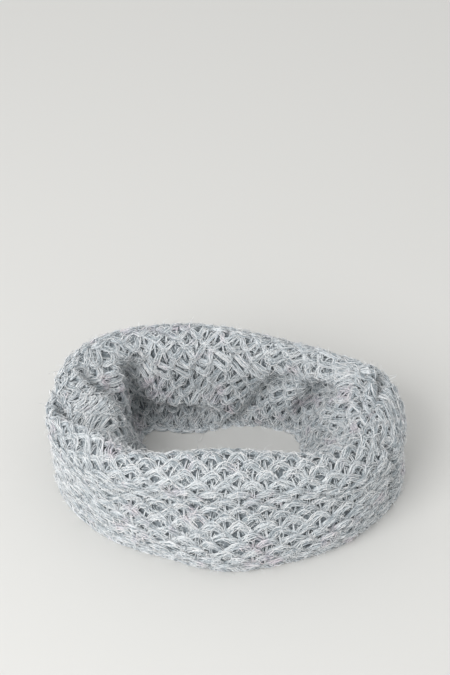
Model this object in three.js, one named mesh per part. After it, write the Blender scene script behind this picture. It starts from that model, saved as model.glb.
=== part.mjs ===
// Infinity scarf in an open honeycomb knit: one endless loop, folded double, standing as an oval ring.
// Millimetres. +Z is up, +X is the ring's right side, the front faces -Y, and the hems rest on z = 0.
import * as THREE from 'three';

// The knitted cloth.
const WALL_THICKNESS = 4.6;
const SEAM_GAP = 0.3;
const GIRTH_PER_UNIT = 110;

// Girth runs across the cloth: 0 at the outer hem, 1 at the top fold, 2 at the inner hem.
const OUTER_HEM = 0;
const TOP_FOLD = 1;
const INNER_HEM = 2;
const GIRTH_KNOTS = [0, 0.38, 0.86, 1, 1.14, 1.56, 2];
const SHOULDER_DROP = 0.55;

// Sections round the ring, every 30 degrees from the front over the right side. Radii and heights.
const COLUMN = {
  footOut: 1, bellyOut: 2, bellyZ: 3, crest: 4, crestZ: 5, topHalf: 6, waistIn: 7, waistZ: 8, footIn: 9,
};
const SECTION_STEP = 30;
const SECTIONS = [
  // angle, footOut, bellyOut, bellyZ, crest, crestZ, topHalf, waistIn, waistZ, footIn
  [0, 102, 105, 24, 67, 97, 11, 50, 45, 44],
  [30, 107, 109, 26, 77, 95, 12, 58, 48, 48],
  [60, 127, 130, 28, 105, 86, 14, 76, 50, 50],
  [90, 152, 147, 34, 127, 77, 14, 98, 46, 60],
  [120, 142, 145, 36, 126, 76, 16, 100, 46, 78],
  [150, 109, 111, 40, 84, 87, 17, 69, 50, 72],
  [180, 97, 98, 44, 76, 97, 15, 56, 46, 60],
  [210, 110, 113, 46, 90, 100, 15, 72, 48, 61],
  [240, 139, 143, 44, 128, 92, 13, 99, 50, 91],
  [270, 143, 143, 42, 128, 82, 12, 98, 46, 87],
  [300, 121, 122, 30, 102, 85, 12, 76, 46, 64],
  [330, 101, 104, 26, 75, 94, 11, 57, 46, 50],
];

// Upright folds, all but the last on the inner layer: the fold's angle at girth 1, 1.4 and 2, the girth where it
// starts and ends, the half width on the side of smaller and of larger angles, and the rise off the plain wall.
const PLEATS = [
  // top, mid, foot, start, end, before, after, rise
  [254, 257, 243, 1.14, 2.5, 17, 28, 13.5],
  [246, 249, 238, 1.1, 1.8, 9, 8, -12],
  [233, 241, 239, 1.2, 2.0, 9, 9, 3],
  [228, 233, 229, 1.24, 1.9, 9, 10, -15],
  [146, 141, 178, 1.25, 1.95, 9, 9, -6],
  [115, 121, 131, 1.34, 1.86, 9, 9, -12],
  [111, 105.5, 100, 1.2, 1.62, 7, 7, -5],
  [128, 128, 128, -1, 0.95, 15, 22, -7],
];
const PLEAT_FADE = 0.35;
const PLEAT_MID = 0.4;

// Folds along the ring: the angle where one starts and ends, its girth at both, half width and rise.
const CREASES = [
  // from, to, girthFrom, girthTo, halfWidth, rise
  [-62, 62, 0.62, 0.6, 10, -5],
  [152, 214, 1.05, 1.05, 8, -5],
  [190, 236, 1.88, 1.88, 9, -13],
  [256, 296, 0.86, 1.1, 8, -3],
  [88, 112, 1.12, 0.94, 7, -3.5],
];
const CREASE_FADE = 30;

// Stations of the solids: finer round the folded ends.
const STATION_RUNS = [
  // from, to, step
  [0, 88, 4],
  [88, 144, 2],
  [144, 212, 4],
  [212, 280, 2],
  [280, 360, 4],
];
const OUTER_ROWS = 10;
const INNER_ROWS = 17;
const LEAST_HEIGHT = 0.6;

const SLOPE_ANGLE = 0.4;
const SLOPE_GIRTH = 0.004;
const RADIANS = Math.PI / 180;

function clamp(value, low, high) {
  return Math.min(high, Math.max(low, value));
}

function smooth(value) {
  const t = clamp(value, 0, 1);
  return t * t * (3 - 2 * t);
}

// 1 between low and high, fading over the soft length round both.
function ramp(value, low, high, soft) {
  return smooth((value - low) / soft + 0.5) * smooth((high - value) / soft + 0.5);
}

// 1 at nought and 0 from one on.
function bell(value) {
  const t = clamp(Math.abs(value), 0, 1);
  return (1 - t * t) ** 2;
}

// An angle brought between -180 and 180 degrees.
function turned(angle) {
  return ((((angle + 180) % 360) + 360) % 360) - 180;
}

// One column of the sections at any angle, as a closed Catmull-Rom curve.
function sectionValue(column, angle) {
  const count = SECTIONS.length;
  const place = (((angle % 360) + 360) % 360) / SECTION_STEP;
  const index = Math.floor(place);
  const f = place - index;
  const [a, b, c, d] = [-1, 0, 1, 2].map((k) => SECTIONS[(index + k + count) % count][column]);
  return 0.5 * (2 * b + (c - a) * f + (2 * a - 5 * b + 4 * c - d) * f ** 2 + (3 * b - a - 3 * c + d) * f ** 3);
}

// A curve through values at uneven knots, with its end slopes carried on.
function knotCurve(values, girth) {
  const last = values.length - 1;
  const v = [2 * values[0] - values[1], ...values, 2 * values[last] - values[last - 1]];
  const k = [
    2 * GIRTH_KNOTS[0] - GIRTH_KNOTS[1], ...GIRTH_KNOTS, 2 * GIRTH_KNOTS[last] - GIRTH_KNOTS[last - 1],
  ];
  let i = 1;
  while (i < last && girth >= k[i + 1]) {
    i += 1;
  }
  const h = k[i + 1] - k[i];
  const before = (v[i] - v[i - 1]) / (k[i] - k[i - 1]);
  const here = (v[i + 1] - v[i]) / h;
  const after = (v[i + 2] - v[i + 1]) / (k[i + 2] - k[i + 1]);
  const m1 = ((before * h + here * (k[i] - k[i - 1])) / (k[i + 1] - k[i - 1])) * h;
  const m2 = ((here * (k[i + 2] - k[i + 1]) + after * h) / (k[i + 2] - k[i])) * h;
  const f = (girth - k[i]) / h;
  return (2 * f ** 3 - 3 * f ** 2 + 1) * v[i] + (f ** 3 - 2 * f ** 2 + f) * m1
    + (3 * f ** 2 - 2 * f ** 3) * v[i + 1] + (f ** 3 - f ** 2) * m2;
}

// The wall before its folds: radius from the ring's axis and height.
function profile(angle, girth) {
  const at = (name) => sectionValue(COLUMN[name], angle);
  const half = at('topHalf');
  const crest = at('crest');
  const shoulderZ = at('crestZ') - SHOULDER_DROP * half;
  const radii = [at('footOut'), at('bellyOut'), crest + half, crest, crest - half, at('waistIn'), at('footIn')];
  const heights = [0, at('bellyZ'), shoulderZ, at('crestZ'), shoulderZ, at('waistZ'), 0];
  return { radius: knotCurve(radii, girth), height: knotCurve(heights, girth) };
}

function plainPoint(angle, girth) {
  const { radius, height } = profile(angle, girth);
  return new THREE.Vector3(radius * Math.sin(angle * RADIANS), -radius * Math.cos(angle * RADIANS), height);
}

// How far the folds lift the cloth off the plain wall.
function foldRise(angle, girth, radius) {
  const q = clamp(girth - TOP_FOLD, 0, 1);
  let total = 0;
  for (const [top, mid, foot, start, end, before, after, rise] of PLEATS) {
    const bow = (mid - top - (foot - top) * PLEAT_MID) / (PLEAT_MID * (1 - PLEAT_MID));
    const line = top + (foot - top) * q + bow * q * (1 - q);
    const across = turned(angle - line) * RADIANS * radius;
    total += rise * bell(across / (2 * (across > 0 ? after : before))) * ramp(girth, start, end, PLEAT_FADE);
  }
  for (const [from, to, girthFrom, girthTo, halfWidth, rise] of CREASES) {
    const half = (to - from) / 2;
    const along = turned(angle - (from + to) / 2);
    const line = girthFrom + (girthTo - girthFrom) * clamp((along + half) / (2 * half), 0, 1);
    const across = (girth - line) * GIRTH_PER_UNIT;
    total += rise * bell(across / (2 * halfWidth)) * ramp(along, -half, half, CREASE_FADE);
  }
  return total;
}

// Slopes of a surface at a point, and its outward normal.
function slopes(surface, angle, girth) {
  const round = surface(angle + SLOPE_ANGLE, girth).sub(surface(angle - SLOPE_ANGLE, girth));
  const high = Math.min(girth + SLOPE_GIRTH, INNER_HEM);
  const low = Math.max(girth - SLOPE_GIRTH, OUTER_HEM);
  const across = surface(angle, high).sub(surface(angle, low));
  return { normal: round.clone().cross(across).normalize(), across: across.normalize() };
}

// The middle of the cloth, with its folds.
function middlePoint(angle, girth) {
  const point = plainPoint(angle, girth);
  const lift = foldRise(angle, girth, Math.hypot(point.x, point.y));
  point.addScaledVector(slopes(plainPoint, angle, girth).normal, lift);
  point.z = Math.max(point.z, 0);
  return point;
}

// Both faces of the cloth at one place. A seam end is moved back by half the gap, a hem is set flat on the floor.
function facePair(angle, girth, seamShift) {
  const middle = middlePoint(angle, girth);
  const { normal, across } = slopes(middlePoint, angle, girth);
  const isHem = girth === OUTER_HEM || girth === INNER_HEM;
  return [0.5, -0.5].map((side) => {
    const point = middle.clone().addScaledVector(normal, side * WALL_THICKNESS);
    point.addScaledVector(across, seamShift);
    point.z = isHem ? 0 : Math.max(point.z, LEAST_HEIGHT);
    return point;
  });
}

function stationAngles() {
  const angles = [];
  for (const [from, to, step] of STATION_RUNS) {
    for (let angle = from; angle < to; angle += step) {
      angles.push(angle);
    }
  }
  return angles;
}

// One stretch of cloth as a closed ring: out along one face and back along the other.
function stretchLoops(fromGirth, toGirth, rows) {
  return stationAngles().map((angle) => {
    const outside = [];
    const inside = [];
    for (let row = 0; row < rows; row += 1) {
      const girth = fromGirth + ((toGirth - fromGirth) * row) / (rows - 1);
      const seamShift = girth === TOP_FOLD ? (Math.sign(toGirth + fromGirth - 2 * TOP_FOLD) * SEAM_GAP) / 2 : 0;
      const [out, back] = facePair(angle, girth, seamShift);
      outside.push(out);
      inside.unshift(back);
    }
    return [...outside, ...inside];
  });
}

function ringMesh(name, loops, centre, material, turnSplit) {
  const around = loops.length;
  const across = loops[0].length;
  const positions = loops.flat().flatMap((p) => [p.x - centre.x, p.y - centre.y, p.z]);
  const faces = [];
  for (let i = 0; i < around; i += 1) {
    const next = (i + 1) % around;
    for (let j = 0; j < across; j += 1) {
      const beside = (j + 1) % across;
      const [a, b, c, d] = [i * across + j, next * across + j, next * across + beside, i * across + beside];
      faces.push(...(turnSplit ? [a, b, d, b, c, d] : [a, b, c, a, c, d]));
    }
  }
  const geometry = new THREE.BufferGeometry();
  geometry.setAttribute('position', new THREE.Float32BufferAttribute(positions, 3));
  geometry.setIndex(faces);
  geometry.computeVertexNormals();
  const mesh = new THREE.Mesh(geometry, material);
  mesh.name = name;
  return mesh;
}

const outerLoops = stretchLoops(OUTER_HEM, TOP_FOLD, OUTER_ROWS);
const innerLoops = stretchLoops(TOP_FOLD, INNER_HEM, INNER_ROWS);
const bounds = new THREE.Box3().setFromPoints([...outerLoops, ...innerLoops].flat());
const centre = bounds.getCenter(new THREE.Vector3());

const outerKnit = new THREE.MeshStandardMaterial({ name: 'outer_knit', color: 0xbfc9ce, roughness: 0.95, metalness: 0 });
const innerKnit = new THREE.MeshStandardMaterial({ name: 'inner_knit', color: 0xb0bbc1, roughness: 0.95, metalness: 0 });

const scarf = new THREE.Group();
scarf.name = 'infinity_scarf';
scarf.add(ringMesh('outer_wall', outerLoops, centre, outerKnit, false));
scarf.add(ringMesh('inner_wall', innerLoops, centre, innerKnit, true));

export default scarf;
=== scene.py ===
"""Infinity scarf: a fuzzy honeycomb knit in pale blue-grey yarn, folded double and standing as an oval ring.

The cloth follows the solids' sections and folds, with sharper creases. A thin knitted ground, which stands
partly for the deeper yarn and whose dark colour is painted shade where the knit's holes show only shadow,
carries rows of arched yarn, the stems behind them, both hems, loose curls and hair. Lengths in the tables are
millimetres.
"""
import math

import bmesh
import bpy
import numpy as np
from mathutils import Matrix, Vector


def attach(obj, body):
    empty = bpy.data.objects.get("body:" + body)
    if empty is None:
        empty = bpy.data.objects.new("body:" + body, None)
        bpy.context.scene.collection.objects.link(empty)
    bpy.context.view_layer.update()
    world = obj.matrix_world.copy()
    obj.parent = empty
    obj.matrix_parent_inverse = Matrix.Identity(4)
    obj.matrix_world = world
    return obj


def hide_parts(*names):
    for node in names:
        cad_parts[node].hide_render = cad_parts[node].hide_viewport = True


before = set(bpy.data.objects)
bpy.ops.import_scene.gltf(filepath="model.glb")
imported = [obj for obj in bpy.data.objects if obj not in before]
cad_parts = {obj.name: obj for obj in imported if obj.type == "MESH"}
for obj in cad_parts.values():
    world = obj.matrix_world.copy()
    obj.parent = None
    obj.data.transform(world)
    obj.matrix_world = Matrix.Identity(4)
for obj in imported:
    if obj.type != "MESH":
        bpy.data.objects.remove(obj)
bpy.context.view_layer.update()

MM = 0.001
QUARTER = math.pi / 2

# Girth runs across the cloth: 0 at the outer hem, 1 at the top fold, 2 at the inner hem.
GIRTH_KNOTS = np.array([0, 0.38, 0.86, 1, 1.14, 1.56, 2])
GIRTH_PER_UNIT = 110
SHOULDER_DROP = 0.55
SECTION_STEP = 30
SECTIONS = np.array([
    # foot_out, belly_out, belly_z, crest, crest_z, top_half, waist_in, waist_z, foot_in
    [102, 105, 24, 67, 97, 11, 50, 45, 44],
    [107, 109, 26, 77, 95, 12, 58, 48, 48],
    [127, 130, 28, 105, 86, 14, 76, 50, 50],
    [152, 147, 34, 127, 77, 14, 98, 46, 60],
    [142, 145, 36, 126, 76, 16, 100, 46, 78],
    [109, 111, 40, 84, 87, 17, 69, 50, 72],
    [97, 98, 44, 76, 97, 15, 56, 46, 60],
    [110, 113, 46, 90, 100, 15, 72, 48, 61],
    [139, 143, 44, 128, 92, 13, 99, 50, 91],
    [143, 143, 42, 128, 82, 12, 98, 46, 87],
    [121, 122, 30, 102, 85, 12, 76, 46, 64],
    [101, 104, 26, 75, 94, 11, 57, 46, 50],
], float)

# Upright folds, all but the last two on the inner layer. Angles are degrees from the front to the right side.
PLEATS = [
    # top, mid, foot, start, end, before, after, rise
    (256, 265, 250, 1.14, 2.5, 12, 22, 18),
    (249, 256, 242, 1.06, 1.8, 7, 6, -17),
    (233, 241, 239, 1.2, 2.0, 8, 8, 4),
    (228, 233, 229, 1.24, 1.9, 7, 9, -19),
    (146, 141, 178, 1.25, 1.95, 8, 8, -8),
    (115, 121, 131, 1.3, 1.9, 7, 8, -19),
    (111, 105.5, 100, 1.2, 1.62, 5, 5, -9),
    (128, 128, 128, -1, 0.95, 15, 22, -7),
    (76, 76, 76, 0.2, 0.85, 4, 5, -9),
]
PLEAT_FADE = 0.35
PLEAT_MID = 0.4

# Folds along the ring.
CREASES = [
    # angle_from, angle_to, girth_from, girth_to, half_width, rise
    (-62, 62, 0.62, 0.6, 9, -5.5),
    (150, 216, 1.06, 1.06, 6, -7),
    (190, 240, 1.86, 1.86, 9, -21),
    (252, 298, 0.69, 1.31, 5, -16),
    (268, 294, 0.906, 1.256, 5, -9),
    (271, 303, 0.842, 1.237, 4, 6),
    (85, 116, 1.14, 0.86, 4.5, -11),
    (92, 118, 1.14, 0.92, 4, 5),
    (96, 118, 1.18, 0.98, 4.5, -11),
]
CREASE_FADE = 30

# The knit: cells round the loop and half-rows across the cloth.
CELLS = 36
HALF_ROWS = 28

# The rows are shifted at the back, so that the inner layer has fewer and taller ones.
BACK_PULL = 0.113
BACK_REACH = 130

# At the front the inner layer's stitches spread, from this share of the way across the cloth.
FRONT_SPREAD = 0.15
FRONT_REACH = 70
INNER_FROM = 0.46
INNER_FADE = 0.2

# A row's arches. Their rise is in half-rows. They are rounder near the outer hem and more pointed further up.
ARCH_RISE = 1.42
ARCH_ROUNDNESS = 0.7
POINT_SOFTNESS = 0.03
POINTED_LOW = 0.2
POINTED_HIGH = 0.35
POINTED_FROM_ROW = 6
POINTED_OVER_ROWS = 6
ARCH_CROWN = 1.4
ARCH_DIP = -2.1
CROWN_SHARPNESS = 1.3
CELL_WANDER = 0.04
CROWN_WANDER = 0.08
ROW_WANDER = 0.05
HEIGHT_WANDER = 0.3
STEPS_PER_CELL = 7

# The bundle of strands along a row is narrower in narrow cells and at the dips between arches.
WIDE_CELL = 26
NARROWEST = 0.75
PINCH_AT_DIP = 0.7
BUNDLE_DOME = 1.0
BUNDLE_REACH = 4.5

# A strand sways and wiggles across its bundle, as often round the loop as its turns say, and stands over it.
STRANDS = [
    # kind, count, radius, spread, sway, turns, over, wiggle
    ("core", 2, 1.4, 1.8, 0.2, (12, 30), -1.4, 0.1),
    ("ply", 4, 0.44, 2.8, 1.2, (12, 40), 0.0, 0.4),
    ("filament", 6, 0.28, 3.1, 1.5, (30, 75), 0.5, 0.85),
]
CORE_STRIDE = 2
WIGGLE_TURNS = (40, 120)
SWAY_LIFT = 0.25
STRAND_LIFT = 0.2
LIFT_TURNS = (20, 100)
LIGHTEST_STRAND = 0.85
# Painted light: strands on a bundle's upper side are made lighter by this much, as if lit from above.
UPPER_SIDE_PAINTED_LIGHT = 0.12
TONE_WANDER = 0.35
TONE_TURNS = (10, 90)

# Two stems stand behind each arch. Their places are in cells and half-rows.
STEM_RADIUS = 0.5
STEMS_MISSING = 0.2
STEM_TAPER = np.array([0.2, 1, 1, 1, 0.2])
STEM_LEAN = 0.2
STEM_HALF_GAP = 0.024
STEM_STRAY = 0.02
STEM_TOP = 1.0
STEM_LENGTH = 1.8
STEM_SINK = -1.2
STEM_ARC = 1.1

# Each hem is a chain of plies, this many half-rows in from the edge.
HEM_RADIUS = 0.7
HEM_INSET = 0.25
HEM_PLIES = 3
HEM_TURNS_PER_CELL = 2
HEM_WIDTH = 1.7
HEM_HEIGHT = 0.9
HEM_OVER = 0.2
HEM_WAVE = 0.12

# The ground under the yarn. It stands partly for the deeper yarn; its dark colour is painted shade for the
# shadow seen through the knit's holes.
GROUND_DEPTH = 2.3
GROUND_THICKNESS = 1.0
GROUND_PER_CELL = 5
GROUND_PER_ROW = 2
FLOOR_CLEARANCE = 0.4

# Loose curls: short bright fibres over the bundles.
CURL_COUNT = 6600
CURL_RADIUS = 0.28
CURL_TAPER = np.array([0.1, 0.9, 1, 1, 0.8, 0.05])
CURL_SIDE = 2.7
CURLS_ALONG = 0.8
CURL_STRAY = 0.65
CURL_BEND = 0.34
CURL_LONGEST = 10
CURL_SHORTEST = 2.2
CURL_HUMP = 0.6
CURL_SINK = 0.9

# Loose hair: narrow blades that stand off the yarn.
HAIR_COUNT = 20000
HAIR_LONGEST = 11
HAIR_SHORTEST = 2
HAIRS_LIFTED = 0.35
HAIR_CURL = 0.7
HAIR_TAPER = 0.6
HAIR_PARTS = (0.0, 0.4, 0.75, 1.0)

# The yarns' colours from dark to light, and how far their fibre noise is stretched along and around a strand.
YARN_LOOKS = {
    # slot: name, dark, middle, light, roughness, along, around, bump
    "core": ("yarn_core", (0.3, 0.345, 0.375), (0.55, 0.6, 0.635), (0.78, 0.81, 0.83), 0.9, 400.0, 6.0, 0.6),
    "ply": ("yarn_ply", (0.26, 0.305, 0.34), (0.6, 0.65, 0.69), (0.93, 0.945, 0.96), 0.8, 240.0, 14.0, 0.5),
    "filament": (
        "yarn_filament", (0.4, 0.455, 0.49), (0.85, 0.885, 0.91), (0.99, 0.99, 0.99), 0.5, 120.0, 6.0, 0.3,
    ),
    "curl": ("loose_curl", (0.55, 0.6, 0.64), (0.84, 0.87, 0.89), (0.98, 0.98, 0.985), 0.5, 3.0, 3.0, 0.3),
}
NOISE_LOOKS = {
    # slot: name, scale, detail, dark, light, roughness, bump
    # Painted shade: the ground's dark colours stand for the shadow seen through the knit's holes.
    "ground": ("ground_knit_painted_shade", 500.0, 4.0, (0.12, 0.14, 0.155), (0.3, 0.335, 0.36), 0.95, 0.8),
    "hair": ("loose_hair", 220.0, 1.0, (0.62, 0.67, 0.7), (0.92, 0.94, 0.95), 0.6, 0.0),
}
FIBRE_PLACE_SCALE = (60, 60, 60)
FIBRE_CONTRAST = 2.8
PINK_TINT = (1.0, 0.91, 0.94, 1)
PATCH_SCALE = 55.0
PATCH_FROM = 0.6
PATCH_FULL = 0.75

# Floor and light.
FLOOR_HALF_WIDTH = 4
FLOOR_COLOUR = (0.682, 0.679, 0.662, 1)
WORLD_COLOUR = (1.0, 1.0, 0.99, 1)
WORLD_STRENGTH = 0.76
KEY_PLACE = (-1.12, -1.28, 1.52)
KEY_AIM = (0, 0, 0.03)
KEY_POWER = 34
KEY_SIZE = 1.4

# Camera, matched to the photograph's frame.
PHOTO_HEIGHT = 675
SENSOR_HEIGHT = 24
FOCAL_PIXELS = 1500
PIXELS_PER_METRE = 1190
CAMERA_ELEVATION = math.radians(42)
AIM_HEIGHT = 0.045
AIM_PIXEL_ROW = 441


def bell(value):
    """1 at nought and 0 from one on."""
    value = np.clip(np.abs(value), 0, 1)
    return (1 - value * value) ** 2


def smooth(value):
    value = np.clip(value, 0, 1)
    return value * value * (3 - 2 * value)


def ramp(value, low, high, soft):
    """1 between low and high, fading over the soft length round both."""
    return smooth((value - low) / soft + 0.5) * smooth((high - value) / soft + 0.5)


def turned(angle):
    return (angle + 180) % 360 - 180


def unit(vectors):
    return vectors / np.maximum(np.linalg.norm(vectors, axis=-1, keepdims=True), 1e-9)


def section_values(angle):
    """All columns of the sections at any angles, as closed Catmull-Rom curves."""
    place = np.mod(angle, 360) / SECTION_STEP
    index = np.floor(place).astype(int)
    f = (place - index)[..., None]
    a, b, c, d = (SECTIONS[(index + k) % len(SECTIONS)] for k in (-1, 0, 1, 2))
    curve = 2 * b + (c - a) * f + (2 * a - 5 * b + 4 * c - d) * f**2 + (3 * b - a - 3 * c + d) * f**3
    return np.moveaxis(0.5 * curve, -1, 0)


def knot_curve(values, girth):
    """A curve through values at the girth knots; values has the knots first."""
    v = np.concatenate([2 * values[:1] - values[1:2], values, 2 * values[-1:] - values[-2:-1]])
    k = np.concatenate([
        2 * GIRTH_KNOTS[:1] - GIRTH_KNOTS[1:2], GIRTH_KNOTS, 2 * GIRTH_KNOTS[-1:] - GIRTH_KNOTS[-2:-1],
    ])
    i = np.clip(np.searchsorted(GIRTH_KNOTS, girth, side="right"), 1, len(GIRTH_KNOTS) - 1)
    p0, p1, p2, p3 = (np.take_along_axis(v, (i + step)[None], 0)[0] for step in (-1, 0, 1, 2))
    k0, k1, k2, k3 = k[i - 1], k[i], k[i + 1], k[i + 2]
    h = k2 - k1
    before, here, after = (p1 - p0) / (k1 - k0), (p2 - p1) / h, (p3 - p2) / (k3 - k2)
    m1 = (before * h + here * (k1 - k0)) / (k2 - k0) * h
    m2 = (here * (k3 - k2) + after * h) / (k3 - k1) * h
    f = (girth - k1) / h
    return (
        (2 * f**3 - 3 * f**2 + 1) * p1 + (f**3 - 2 * f**2 + f) * m1
        + (3 * f**2 - 2 * f**3) * p2 + (f**3 - f**2) * m2
    )


def plain_point(angle, girth):
    """The wall before its folds."""
    foot_out, belly_out, belly_z, crest, crest_z, half, waist_in, waist_z, foot_in = section_values(angle)
    shoulder_z = crest_z - SHOULDER_DROP * half
    floor = np.zeros_like(half)
    radii = np.stack([foot_out, belly_out, crest + half, crest, crest - half, waist_in, foot_in])
    heights = np.stack([floor, belly_z, shoulder_z, crest_z, shoulder_z, waist_z, floor])
    radius = knot_curve(radii, girth)
    a = np.radians(angle)
    return np.stack([radius * np.sin(a), -radius * np.cos(a), knot_curve(heights, girth)], -1)


def fold_rise(angle, girth, radius):
    """How far the folds lift the cloth off the plain wall."""
    q = np.clip(girth - 1, 0, 1)
    total = np.zeros_like(angle)
    for top, mid, foot, start, end, before, after, rise in PLEATS:
        bow = (mid - top - (foot - top) * PLEAT_MID) / (PLEAT_MID * (1 - PLEAT_MID))
        line = top + (foot - top) * q + bow * q * (1 - q)
        across = np.radians(turned(angle - line)) * radius
        width = 2 * np.where(across > 0, after, before)
        total += rise * bell(across / width) * ramp(girth, start, end, PLEAT_FADE)
    for angle_from, angle_to, girth_from, girth_to, half_width, rise in CREASES:
        half = (angle_to - angle_from) / 2
        along = turned(angle - (angle_from + angle_to) / 2)
        line = girth_from + (girth_to - girth_from) * np.clip((along + half) / (2 * half), 0, 1)
        across = (girth - line) * GIRTH_PER_UNIT
        total += rise * bell(across / (2 * half_width)) * ramp(along, -half, half, CREASE_FADE)
    return total


def normal_of(surface, angle, girth):
    round_ring = surface(angle + 0.4, girth) - surface(angle - 0.4, girth)
    across = surface(angle, np.minimum(girth + 0.004, 2)) - surface(angle, np.maximum(girth - 0.004, 0))
    return unit(np.cross(round_ring, across))


def middle_point(angle, girth):
    """The middle of the cloth, with its folds."""
    point = plain_point(angle, girth)
    lift = fold_rise(angle, girth, np.hypot(point[..., 0], point[..., 1]))
    point = point + normal_of(plain_point, angle, girth) * lift[..., None]
    point[..., 2] = np.maximum(point[..., 2], 0)
    return point


class Cloth:
    """The cloth's middle face and normal at any cell and half-row, with the cells spread evenly over it."""

    ANGLE_STEPS = 720
    GIRTH_STEPS = 80
    PER_CELL = 16
    PER_ROW = 4

    def __init__(self):
        angles = np.linspace(0, 360, self.ANGLE_STEPS + 1)
        girths = np.linspace(0, 2, self.GIRTH_STEPS + 1)
        grid_angle, grid_girth = np.meshgrid(angles, girths, indexing="ij")
        points = middle_point(grid_angle, grid_girth)
        across = np.cumsum(np.linalg.norm(np.diff(points, axis=1), axis=2), axis=1)
        across = np.concatenate([np.zeros((len(angles), 1)), across], 1)
        rows = np.linspace(0, 1, HALF_ROWS * self.PER_ROW + 1)
        pull = BACK_PULL * bell(turned(angles - 180) / BACK_REACH)
        share = rows - pull[:, None] * np.sin(np.pi * rows)
        girth_at = np.stack([
            np.interp(row_share * length[-1], length, girths) for row_share, length in zip(share, across)
        ])
        row_points = middle_point(np.repeat(angles[:, None], len(rows), 1), girth_at)
        step = np.linalg.norm(np.diff(row_points, axis=0), axis=2)
        step = step * self.spreading((angles[1:] + angles[:-1]) / 2, rows)
        along = np.concatenate([np.zeros((1, len(rows))), np.cumsum(step, 0)])
        cells = np.linspace(0, 1, CELLS * self.PER_CELL + 1)
        angle = np.stack([np.interp(cells * a[-1], a, angles) for a in along.T], 1)
        girth = np.stack([np.interp(angle[:, i], angles, girth_at[:, i]) for i in range(len(rows))], 1)
        self.points = middle_point(angle, girth)
        self.normals = normal_of(middle_point, angle, girth)
        solid_angle, solid_girth = np.meshgrid(np.arange(0, 360, 2.0), np.linspace(0, 2, 41), indexing="ij")
        face = middle_point(solid_angle, solid_girth)
        centre = (face.reshape(-1, 3).max(0) + face.reshape(-1, 3).min(0)) / 2
        self.shift = np.array([centre[0], centre[1], 0])
        self.points = self.points - self.shift

    @staticmethod
    def spreading(angle, rows):
        """Less than 1 where stitches spread: on the inner layer at the front."""
        inner = smooth((rows - INNER_FROM) / INNER_FADE)
        front = bell(turned(angle) / FRONT_REACH)
        return 1 - inner[None, :] * (FRONT_SPREAD * front)[:, None]

    def at(self, cell, row):
        """Points and normals, in millimetres, between the table's own places."""
        x = np.mod(cell, CELLS) * self.PER_CELL
        y = np.clip(row, 0, HALF_ROWS) * self.PER_ROW
        i = np.minimum(x.astype(int), CELLS * self.PER_CELL - 1)
        j = np.minimum(y.astype(int), HALF_ROWS * self.PER_ROW - 1)
        fx, fy = (x - i)[..., None], (y - j)[..., None]
        results = []
        for table in (self.points, self.normals):
            low = table[i, j] * (1 - fx) + table[i + 1, j] * fx
            high = table[i, j + 1] * (1 - fx) + table[i + 1, j + 1] * fx
            results.append(low * (1 - fy) + high * fy)
        return results[0], unit(results[1])


def wander(rng, t, amplitude, turns=(3, 40)):
    """A smooth closed wander along a row, made of a few waves."""
    total = np.zeros_like(t)
    for _ in range(5):
        turn = rng.integers(turns[0], turns[1])
        total += np.sin(2 * np.pi * turn * t / CELLS + rng.uniform(0, 2 * np.pi))
    return amplitude * total / 2.2


def material(name):
    made = bpy.data.materials.new(name)
    made.use_nodes = True
    return made


def add_node(tree, kind, **inputs):
    node = tree.nodes.new(kind)
    for key, value in inputs.items():
        node.inputs[key.replace("_", " ")].default_value = value
    return node


def fibre_group():
    """What every yarn shares: its fine fibres, the strand's tone (its own, and in the rows also painted light
    on a bundle's upper side) and faint tinted patches.
    """
    group = bpy.data.node_groups.new("yarn_fibres", "ShaderNodeTree")
    for name in ("Stretch Along", "Stretch Around"):
        group.interface.new_socket(name, in_out="INPUT", socket_type="NodeSocketFloat")
    for name in ("Shade", "Tint", "Height"):
        group.interface.new_socket(name, in_out="OUTPUT", socket_type="NodeSocketFloat")
    into, out = group.nodes.new("NodeGroupInput"), group.nodes.new("NodeGroupOutput")
    uv = group.nodes.new("ShaderNodeUVMap")
    place = group.nodes.new("ShaderNodeTexCoord")
    stretch = group.nodes.new("ShaderNodeCombineXYZ")
    along_yarn = group.nodes.new("ShaderNodeVectorMath")
    along_yarn.operation = "MULTIPLY"
    with_place = group.nodes.new("ShaderNodeVectorMath")
    with_place.operation = "MULTIPLY_ADD"
    with_place.inputs[1].default_value = FIBRE_PLACE_SCALE
    fibres = add_node(group, "ShaderNodeTexNoise", Scale=1.0, Detail=3.0, Roughness=0.65)
    tone = group.nodes.new("ShaderNodeAttribute")
    tone.attribute_name = "tone"
    lift = add_node(group, "ShaderNodeMath")
    lift.operation = "MULTIPLY_ADD"
    lift.inputs[1].default_value = FIBRE_CONTRAST
    lift.inputs[2].default_value = -FIBRE_CONTRAST / 2
    shade = group.nodes.new("ShaderNodeMath")
    shade.operation = "ADD"
    patches = add_node(group, "ShaderNodeTexNoise", Scale=PATCH_SCALE, Detail=1.0, Roughness=0.5)
    tint = group.nodes.new("ShaderNodeMapRange")
    tint.inputs["From Min"].default_value = PATCH_FROM
    tint.inputs["From Max"].default_value = PATCH_FULL
    link = group.links.new
    link(into.outputs["Stretch Along"], stretch.inputs["X"])
    link(into.outputs["Stretch Around"], stretch.inputs["Y"])
    link(uv.outputs["UV"], along_yarn.inputs[0])
    link(stretch.outputs["Vector"], along_yarn.inputs[1])
    link(place.outputs["Object"], with_place.inputs[0])
    link(along_yarn.outputs["Vector"], with_place.inputs[2])
    link(with_place.outputs["Vector"], fibres.inputs["Vector"])
    link(fibres.outputs["Fac"], lift.inputs[0])
    link(lift.outputs["Value"], shade.inputs[0])
    link(tone.outputs["Fac"], shade.inputs[1])
    link(shade.outputs["Value"], out.inputs["Shade"])
    link(place.outputs["Object"], patches.inputs["Vector"])
    link(patches.outputs["Fac"], tint.inputs["Value"])
    link(tint.outputs["Result"], out.inputs["Tint"])
    link(fibres.outputs["Fac"], out.inputs["Height"])
    return group


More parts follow.
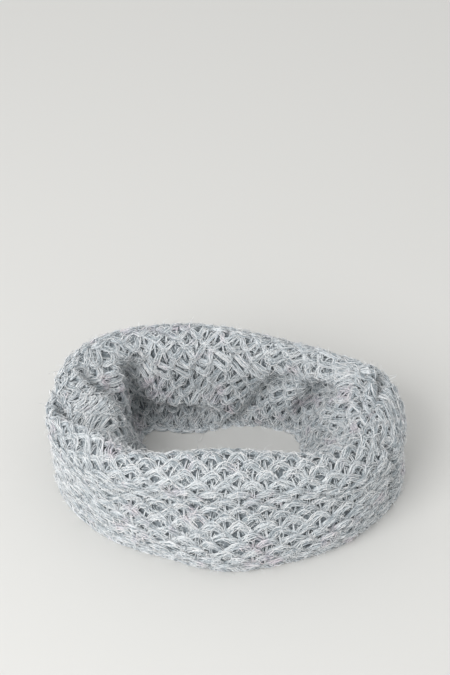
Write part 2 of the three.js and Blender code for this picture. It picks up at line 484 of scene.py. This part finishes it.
def yarn_material(group, name, dark, middle, light, roughness, along, around, bump):
    """Dyed yarn: from dark to light with the strand's tone and fibres, the tone in the rows also carrying
    painted light on a bundle's upper side, and pinker in the tinted patches.
    """
    made = material(name)
    tree = made.node_tree
    shader = tree.nodes["Principled BSDF"]
    fibres = tree.nodes.new("ShaderNodeGroup")
    fibres.node_tree = group
    fibres.inputs["Stretch Along"].default_value = along
    fibres.inputs["Stretch Around"].default_value = around
    shades = tree.nodes.new("ShaderNodeValToRGB")
    shades.color_ramp.elements[0].color = (*dark, 1)
    shades.color_ramp.elements[0].position = 0.05
    shades.color_ramp.elements[1].color = (*light, 1)
    shades.color_ramp.elements[1].position = 0.95
    shades.color_ramp.elements.new(0.5).color = (*middle, 1)
    pink = tree.nodes.new("ShaderNodeMix")
    pink.data_type = "RGBA"
    pink.blend_type = "MULTIPLY"
    pink.inputs["B"].default_value = PINK_TINT
    bump_node = add_node(tree, "ShaderNodeBump", Strength=bump, Distance=0.0004)
    link = tree.links.new
    link(fibres.outputs["Shade"], shades.inputs["Fac"])
    link(fibres.outputs["Tint"], pink.inputs["Factor"])
    link(shades.outputs["Color"], pink.inputs["A"])
    link(pink.outputs["Result"], shader.inputs["Base Color"])
    link(fibres.outputs["Height"], bump_node.inputs["Height"])
    link(bump_node.outputs["Normal"], shader.inputs["Normal"])
    shader.inputs["Roughness"].default_value = roughness
    shader.inputs["Sheen Weight"].default_value = 0.3
    shader.inputs["Sheen Roughness"].default_value = 0.5
    shader.inputs["Specular IOR Level"].default_value = 0.3
    return made


def strand_section():
    """A three-cornered section for the thin strands."""
    section = bpy.data.curves.new("strand_section", "CURVE")
    section.dimensions = "2D"
    spline = section.splines.new("POLY")
    spline.points.add(2)
    for index, point in enumerate(spline.points):
        turn = -2 * math.pi * index / 3
        point.co = (math.cos(turn) * MM, math.sin(turn) * MM, 0, 1)
    spline.use_cyclic_u = True
    piece = bpy.data.objects.new("strand_section", section)
    bpy.context.scene.collection.objects.link(piece)
    return piece


def tube_piece(name, strands, radius, cyclic, made, section=None):
    """Strands as one mesh. Each is its points in millimetres, its tone and its thickness at every point."""
    curve = bpy.data.curves.new(name, "CURVE")
    curve.dimensions = "3D"
    if section is None:
        curve.bevel_depth = radius * MM
        curve.bevel_resolution = 0
        scale = 1
    else:
        curve.bevel_mode = "OBJECT"
        curve.bevel_object = section
        scale = radius
    for path, _, thickness in strands:
        spline = curve.splines.new("POLY")
        spline.points.add(len(path) - 1)
        spline.points.foreach_set("co", np.concatenate([path * MM, np.ones((len(path), 1))], 1).ravel())
        spline.points.foreach_set("radius", np.broadcast_to(thickness, len(path)) * scale)
        spline.use_cyclic_u = cyclic
        spline.use_smooth = True
    holder = bpy.data.objects.new(name + "_curve", curve)
    bpy.context.scene.collection.objects.link(holder)
    mesh = bpy.data.meshes.new_from_object(holder.evaluated_get(bpy.context.evaluated_depsgraph_get()))
    mesh.name = name
    bpy.data.objects.remove(holder)
    tones = np.concatenate([np.broadcast_to(tone, len(path)) for path, tone, _ in strands])
    sides = len(mesh.vertices) // len(tones)
    attribute = mesh.attributes.new("tone", "FLOAT", "POINT")
    attribute.data.foreach_set("value", np.repeat(tones, sides).astype(np.float32))
    piece = bpy.data.objects.new(name, mesh)
    bpy.context.scene.collection.objects.link(piece)
    mesh.materials.clear()
    mesh.materials.append(made)
    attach(piece, "root")
    return piece


def arch_shape(across_cell, row):
    """1 at an arch's crown and 0 at its feet."""
    rounded = np.abs(np.cos(np.pi * across_cell)) ** ARCH_ROUNDNESS
    pointed = (1 - np.sqrt(4 * across_cell**2 + POINT_SOFTNESS)) / (1 - math.sqrt(POINT_SOFTNESS))
    share = POINTED_LOW + (POINTED_HIGH - POINTED_LOW) * smooth((row - POINTED_FROM_ROW) / POINTED_OVER_ROWS)
    return rounded + (np.clip(pointed, 0, 1) - rounded) * share


def arch_line(t, row):
    """The line of a row's yarn: its cells, half-rows, height over the cloth and share of its arch."""
    arch = arch_shape(np.mod(t + 0.5, 1) - 0.5, row)
    height = ARCH_DIP + (ARCH_CROWN - ARCH_DIP) * arch**CROWN_SHARPNESS
    return t + 0.5 * (row % 2), row + ARCH_RISE * arch, height, arch


def bundle_frame(cloth, cell, half_row, height):
    """Points of a row's line with their normals, the direction across its bundle and the bundle's room."""
    point, normal = cloth.at(cell, half_row)
    width = np.linalg.norm(cloth.at(cell + 0.5, half_row)[0] - cloth.at(cell - 0.5, half_row)[0], axis=1)
    room = np.clip(width / WIDE_CELL, NARROWEST, 1)
    point = point + normal * height[:, None]
    along = unit(np.roll(point, -2, 0) - np.roll(point, 2, 0))
    return point, normal, unit(np.cross(normal, along)), room


def dome(offset):
    """The round top of a bundle over its middle."""
    return BUNDLE_DOME * np.sqrt(np.clip(1 - (offset / BUNDLE_REACH) ** 2, 0, 1))


def on_floor(points, radius):
    """Strands of this radius lie on the floor, not in it."""
    points[..., 2] = np.maximum(points[..., 2], radius)
    return points


def yarn_rows(cloth, materials, section):
    """Every row of yarn: a soft core, plies beside each other over it and bright filaments on top."""
    rng = np.random.default_rng(7)
    steps = CELLS * STEPS_PER_CELL
    t = np.linspace(0, CELLS, steps, endpoint=False)
    strands = {"core": [], "ply": [], "filament": []}
    for row in range(HALF_ROWS):
        cell, half_row, height, arch = arch_line(t, row)
        cell = cell + wander(rng, t, CELL_WANDER)
        half_row = half_row + arch * wander(rng, t, CROWN_WANDER) + wander(rng, t, ROW_WANDER)
        height = height + wander(rng, t, HEIGHT_WANDER)
        point, normal, side, room = bundle_frame(cloth, cell, half_row, height)
        room = room * (PINCH_AT_DIP + (1 - PINCH_AT_DIP) * np.sqrt(arch))
        for kind, count, radius, spread, sway, turns, over, wiggle in STRANDS:
            for k in range(count):
                place = 2 * k / (count - 1) - 1
                swaying = rng.uniform(0, 2 * np.pi) + 2 * np.pi * rng.integers(*turns) * t / CELLS
                offset = spread * place + sway * np.sin(swaying) + wander(rng, t, wiggle, WIGGLE_TURNS)
                rise = dome(offset) + over + SWAY_LIFT * np.cos(swaying)
                rise = rise + wander(rng, t, STRAND_LIFT, LIFT_TURNS)
                path = on_floor(point + side * (offset * room)[:, None] + normal * rise[:, None], radius)
                # Random tone, plus painted light that makes the bundle's upper side lighter.
                tone = rng.uniform(0.0, LIGHTEST_STRAND) + UPPER_SIDE_PAINTED_LIGHT * place
                tone = tone + wander(rng, t, TONE_WANDER, TONE_TURNS)
                if kind == "core":
                    path, tone = path[::CORE_STRIDE], tone[::CORE_STRIDE]
                strands[kind].append((path, tone, 1))
    radii = {kind: radius for kind, _, radius, *_ in STRANDS}
    pieces = [
        tube_piece("yarn_core", strands["core"], radii["core"], True, materials["core"]),
        tube_piece("yarn_plies", strands["ply"], radii["ply"], True, materials["ply"], section),
    ]
    half = len(strands["filament"]) // 2
    for name, share in (("outer", strands["filament"][:half]), ("inner", strands["filament"][half:])):
        name = "yarn_filaments_" + name
        pieces.append(tube_piece(name, share, radii["filament"], True, materials["filament"], section))
    return pieces


def stems(cloth, materials, section):
    """The upright strands behind the arches, from each crown down to the dip below it."""
    rng = np.random.default_rng(11)
    s = np.linspace(0, 1, len(STEM_TAPER))
    strands = []
    for row in range(1, HALF_ROWS):
        for cell in range(CELLS):
            if rng.random() < STEMS_MISSING:
                continue
            lean = rng.uniform(-STEM_LEAN, STEM_LEAN)
            for side in (-1, 1):
                u = cell + 0.5 * (row % 2) + side * STEM_HALF_GAP + lean * (s - 0.5)
                u = u + rng.uniform(-STEM_STRAY, STEM_STRAY)
                point, normal = cloth.at(u, row + STEM_TOP - STEM_LENGTH * s)
                height = STEM_SINK + STEM_ARC * np.sin(np.pi * s) + rng.uniform(-0.2, 0.3)
                path = on_floor(point + normal * height[:, None], STEM_RADIUS)
                strands.append((path, rng.uniform(0.3, 1.0), STEM_TAPER))
    return tube_piece("yarn_stems", strands, STEM_RADIUS, False, materials["ply"], section)


def hems(cloth, materials, section):
    """The cast-on and bind-off edges: a chain of plies along each."""
    rng = np.random.default_rng(13)
    t = np.linspace(0, CELLS, CELLS * STEPS_PER_CELL * 2, endpoint=False)
    strands = []
    for edge in (HEM_INSET, HALF_ROWS - HEM_INSET):
        for k in range(HEM_PLIES):
            turn = 2 * np.pi * (k / HEM_PLIES + HEM_TURNS_PER_CELL * t) + wander(rng, t, 0.4)
            half_row = edge + wander(rng, t, HEM_WAVE) + HEM_WAVE * np.sin(2 * np.pi * t)
            point, _, side, _ = bundle_frame(cloth, t, half_row, HEM_OVER + HEM_HEIGHT * np.sin(turn))
            path = on_floor(point + side * (HEM_WIDTH * np.cos(turn))[:, None], HEM_RADIUS)
            strands.append((path, rng.uniform(0.3, 0.8) + wander(rng, t, 0.25, (20, 90)), 1))
    return tube_piece("yarn_hems", strands, HEM_RADIUS, True, materials["ply"], section)


def curls(cloth, materials, section):
    """Short bright fibres that curl loosely over the yarn, most of them nearly along it."""
    rng = np.random.default_rng(19)
    s = np.linspace(0, 1, len(CURL_TAPER))
    strands = []
    count = CURL_COUNT
    row, t = rng.integers(0, HALF_ROWS, count), rng.uniform(0, CELLS, count)
    cell, half_row, height, _ = arch_line(t, row)
    ahead_cell, ahead_row, _, _ = arch_line(t + 0.04, row)
    root, normal = cloth.at(cell, half_row)
    ahead, _ = cloth.at(ahead_cell, ahead_row)
    along = unit(ahead - root)
    side = unit(np.cross(normal, along))
    offset = rng.uniform(-CURL_SIDE, CURL_SIDE, count)
    over = height + dome(offset) + rng.uniform(0.3, 1.3, count)
    keeps_along = rng.random(count) < CURLS_ALONG
    heading = np.where(keeps_along, rng.normal(0, CURL_STRAY, count), rng.uniform(-np.pi, np.pi, count))
    length = np.clip(rng.gamma(5.0, 1.0, count), CURL_SHORTEST, CURL_LONGEST)
    curl = rng.normal(0, CURL_BEND, count)
    waves = rng.uniform(0.3, 1.0, count)
    phase = rng.uniform(0, 2 * np.pi, count)
    thickness = rng.uniform(0.6, 1.15, count)
    tone = rng.uniform(0.4, 1.4, count)
    for i in range(count):
        onward = along[i] * math.cos(heading[i]) + side[i] * math.sin(heading[i])
        sideways = side[i] * math.cos(heading[i]) - along[i] * math.sin(heading[i])
        swing = length[i] * curl[i] * (np.sin(2 * np.pi * waves[i] * s + phase[i]) - math.sin(phase[i]))
        hump = over[i] + CURL_HUMP * np.sin(np.pi * s) - CURL_SINK * s**4
        path = root[i] + side[i] * offset[i] + onward * (length[i] * (s - 0.5))[:, None]
        path = path + sideways * swing[:, None] + normal[i] * hump[:, None]
        strands.append((on_floor(path, CURL_RADIUS), tone[i], CURL_TAPER * thickness[i]))
    return tube_piece("loose_curls", strands, CURL_RADIUS, False, materials["curl"], section)


def ground(cloth, materials):
    """The knitted ground under the yarn, closed round the ring, as a thin shell. Its dark colour is painted
    shade for the shadow seen through the knit's holes; the shell stands partly for the deeper yarn.
    """
    around, across = CELLS * GROUND_PER_CELL, HALF_ROWS * GROUND_PER_ROW
    shape = bmesh.new()
    uv = shape.loops.layers.uv.new("UVMap")
    bmesh.ops.create_grid(shape, x_segments=around, y_segments=across, size=0.5)
    places = np.array([vert.co[:] for vert in shape.verts]) + 0.5
    point, normal = cloth.at(places[:, 0] * CELLS * (1 - 1e-9), places[:, 1] * HALF_ROWS)
    point = (point - normal * GROUND_DEPTH) * MM
    point[:, 2] = np.maximum(point[:, 2], FLOOR_CLEARANCE * MM)
    for face in shape.faces:
        for loop in face.loops:
            loop[uv].uv = (loop.vert.co.x + 0.5, loop.vert.co.y + 0.5)
    for vert, place in zip(shape.verts, point):
        vert.co = place
    bmesh.ops.remove_doubles(shape, verts=shape.verts, dist=1e-6)
    mesh = bpy.data.meshes.new("ground_knit_painted_shade")
    shape.to_mesh(mesh)
    shape.free()
    mesh.shade_smooth()
    piece = bpy.data.objects.new("ground_knit_painted_shade", mesh)
    bpy.context.scene.collection.objects.link(piece)
    # The ground material's dark colour is painted shade for the shadow in the knit's holes.
    mesh.materials.append(materials["ground"])
    wall = piece.modifiers.new("wall", "SOLIDIFY")
    wall.thickness = GROUND_THICKNESS * MM
    wall.offset = -1
    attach(piece, "root")
    return piece


def loose_hair(cloth, materials):
    """Fine loose hairs that stand off the yarn, as narrow tapered blades."""
    rng = np.random.default_rng(17)
    count = HAIR_COUNT
    cell = rng.uniform(0, CELLS, count)
    row = rng.uniform(0, HALF_ROWS, count)
    point, normal = cloth.at(cell, row)
    ahead, _ = cloth.at(cell + 0.05, row)
    along = unit(ahead - point)
    side = np.cross(normal, along)
    heading = rng.uniform(0, 2 * np.pi, count)[:, None]
    flat = along * np.cos(heading) + side * np.sin(heading)
    bend = along * np.cos(heading + QUARTER) + side * np.sin(heading + QUARTER)
    length = np.clip(rng.gamma(4.0, 1.2, count), HAIR_SHORTEST, HAIR_LONGEST)[:, None]
    lifted = rng.random(count) < HAIRS_LIFTED
    lift = np.where(lifted, rng.uniform(0.5, 1.3, count), rng.uniform(0.0, 0.4, count))[:, None]
    curl = rng.uniform(-HAIR_CURL, HAIR_CURL, count)[:, None]
    root = point + normal * rng.uniform(0.8, 2.4, count)[:, None]
    width = rng.uniform(0.12, 0.2, count)[:, None]
    blades = []
    for s in HAIR_PARTS:
        spot = root + length * s * (flat + bend * curl * s + normal * lift * (1 - 0.5 * s))
        if s < 1:
            blades += [spot - bend * width * (1 - HAIR_TAPER * s), spot + bend * width * (1 - HAIR_TAPER * s)]
        else:
            blades.append(spot)
    points = on_floor(np.stack(blades, 1), FLOOR_CLEARANCE)
    start = len(blades) * np.arange(count)[:, None]
    quads = np.concatenate([start + np.array([0, 1, 3, 2]), start + np.array([2, 3, 5, 4])])
    tips = start + np.array([4, 5, 6])
    mesh = bpy.data.meshes.new("loose_hair")
    mesh.from_pydata((points.reshape(-1, 3) * MM).tolist(), [], quads.tolist() + tips.tolist())
    mesh.shade_smooth()
    piece = bpy.data.objects.new("loose_hair", mesh)
    bpy.context.scene.collection.objects.link(piece)
    mesh.materials.append(materials["hair"])
    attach(piece, "root")
    return piece


def noise_material(name, scale, detail, dark, light, roughness, bump):
    """One noise between two colours, read at the piece's own place."""
    made = material(name)
    tree = made.node_tree
    shader = tree.nodes["Principled BSDF"]
    place = tree.nodes.new("ShaderNodeTexCoord")
    noise = add_node(tree, "ShaderNodeTexNoise", Scale=scale, Detail=detail, Roughness=0.65)
    shades = tree.nodes.new("ShaderNodeValToRGB")
    shades.color_ramp.elements[0].color = (*dark, 1)
    shades.color_ramp.elements[0].position = 0.35
    shades.color_ramp.elements[1].color = (*light, 1)
    shades.color_ramp.elements[1].position = 0.66
    bump_node = add_node(tree, "ShaderNodeBump", Strength=bump, Distance=0.001)
    tree.links.new(place.outputs["Object"], noise.inputs["Vector"])
    tree.links.new(noise.outputs["Fac"], shades.inputs["Fac"])
    tree.links.new(shades.outputs["Color"], shader.inputs["Base Color"])
    tree.links.new(noise.outputs["Fac"], bump_node.inputs["Height"])
    tree.links.new(bump_node.outputs["Normal"], shader.inputs["Normal"])
    shader.inputs["Roughness"].default_value = roughness
    shader.inputs["Sheen Weight"].default_value = 0.2
    return made


def build_scarf():
    """The ground shell that stands for both solids, with the knit on it."""
    fibres = fibre_group()
    materials = {slot: yarn_material(fibres, *look) for slot, look in YARN_LOOKS.items()}
    materials.update({slot: noise_material(*look) for slot, look in NOISE_LOOKS.items()})
    cloth = Cloth()
    shell = ground(cloth, materials)
    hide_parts("outer_wall", "inner_wall")
    section = strand_section()
    extra = yarn_rows(cloth, materials, section)
    extra.append(stems(cloth, materials, section))
    extra.append(hems(cloth, materials, section))
    extra.append(curls(cloth, materials, section))
    extra.append(loose_hair(cloth, materials))
    bpy.data.objects.remove(section)
    return cloth


def studio(cloth):
    """Floor, soft light and the camera."""
    shape = bmesh.new()
    bmesh.ops.create_grid(shape, x_segments=1, y_segments=1, size=FLOOR_HALF_WIDTH)
    mesh = bpy.data.meshes.new("floor")
    shape.to_mesh(mesh)
    shape.free()
    floor = bpy.data.objects.new("floor", mesh)
    bpy.context.scene.collection.objects.link(floor)
    made = material("floor")
    shader = made.node_tree.nodes["Principled BSDF"]
    shader.inputs["Base Color"].default_value = FLOOR_COLOUR
    shader.inputs["Roughness"].default_value = 0.75
    mesh.materials.append(made)

    world = bpy.data.worlds.new("studio")
    world.use_nodes = True
    background = world.node_tree.nodes["Background"]
    background.inputs["Color"].default_value = WORLD_COLOUR
    background.inputs["Strength"].default_value = WORLD_STRENGTH
    bpy.context.scene.world = world

    key = bpy.data.lights.new("key", "AREA")
    key.energy = KEY_POWER
    key.size = KEY_SIZE
    lamp = bpy.data.objects.new("key", key)
    lamp.location = KEY_PLACE
    lamp.rotation_euler = (Vector(KEY_AIM) - lamp.location).to_track_quat("-Z", "Y").to_euler()
    bpy.context.scene.collection.objects.link(lamp)

    lens = bpy.data.cameras.new("camera")
    lens.sensor_fit = "VERTICAL"
    lens.sensor_height = SENSOR_HEIGHT
    lens.lens = FOCAL_PIXELS / PHOTO_HEIGHT * SENSOR_HEIGHT
    camera = bpy.data.objects.new("camera", lens)
    below = math.atan((AIM_PIXEL_ROW - PHOTO_HEIGHT / 2) / FOCAL_PIXELS)
    aim = Vector((-cloth.shift[0] * MM, -cloth.shift[1] * MM, AIM_HEIGHT))
    sight = Vector((0, math.cos(CAMERA_ELEVATION + below), -math.sin(CAMERA_ELEVATION + below)))
    axis = Vector((0, math.cos(CAMERA_ELEVATION), -math.sin(CAMERA_ELEVATION)))
    camera.location = aim - sight * (FOCAL_PIXELS / PIXELS_PER_METRE)
    camera.rotation_euler = axis.to_track_quat("-Z", "Y").to_euler()
    bpy.context.scene.collection.objects.link(camera)
    bpy.context.scene.camera = camera
    bpy.context.scene.view_settings.view_transform = "Standard"


scarf_cloth = build_scarf()
studio(scarf_cloth)
